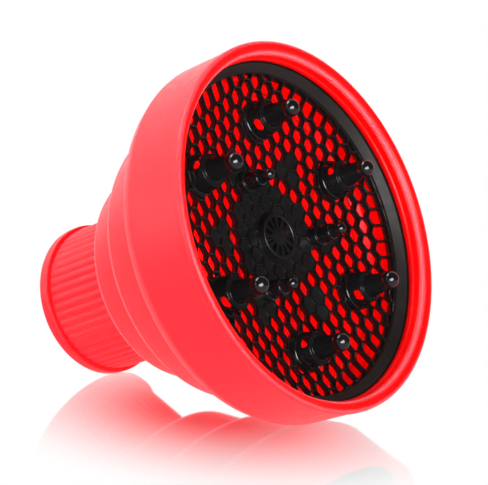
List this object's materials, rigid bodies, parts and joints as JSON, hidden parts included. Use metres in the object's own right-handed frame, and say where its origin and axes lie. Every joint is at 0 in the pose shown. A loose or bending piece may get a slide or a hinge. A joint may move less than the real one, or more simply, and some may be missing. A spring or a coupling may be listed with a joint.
{
  "type": "collapsible hair dryer diffuser",
  "caption": "Collapsible silicone hair-dryer diffuser: fluted neck, two conical fold rings and a wide bowl around a dished honeycomb grille with ball-tipped prongs.",
  "frame": {"origin": "centre of the neck's end face, the lowest face when the diffuser stands on its neck", "axes": "+Z along the diffuser's axis from the neck to the mouth; +X through the centre of large_prong_1"},
  "size_m": [0.1524, 0.1524, 0.1332],
  "materials": {
    "silicone": "satin coral-red silicone",
    "grille_plastic": "fine matte black",
    "prong_plastic": "gloss black",
    "cap_plastic": "satin black"
  },
  "bodies": {
    "bowl": {"bowl_shell": "silicone", "hinge_web_large": "silicone", "grille_plate": "grille_plastic", "centre_cap": "cap_plastic", "large_prong_1": "prong_plastic", "large_prong_2": "prong_plastic", "large_prong_3": "prong_plastic", "large_prong_4": "prong_plastic", "large_prong_5": "prong_plastic", "large_prong_6": "prong_plastic", "small_prong_1": "prong_plastic", "small_prong_2": "prong_plastic", "small_prong_3": "prong_plastic"},
    "ring_large": {"fold_ring_large": "silicone", "hinge_web_small": "silicone"},
    "ring_small": {"fold_ring_small": "silicone", "hinge_web_neck": "silicone"},
    "neck": {"neck_sleeve": "silicone"}
  },
  "joints": [
    {"name": "fold_large", "type": "slide", "parent": "bowl", "child": "ring_large", "axis": [0, 0, 1], "range_m": [0, 0.016], "deforming": ["hinge_web_large"]},
    {"name": "fold_small", "type": "slide", "parent": "ring_large", "child": "ring_small", "axis": [0, 0, 1], "range_m": [0, 0.02], "deforming": ["hinge_web_small"]},
    {"name": "fold_neck", "type": "slide", "parent": "ring_small", "child": "neck", "axis": [0, 0, 1], "range_m": [0, 0.016], "deforming": ["hinge_web_neck"]}
  ]
}
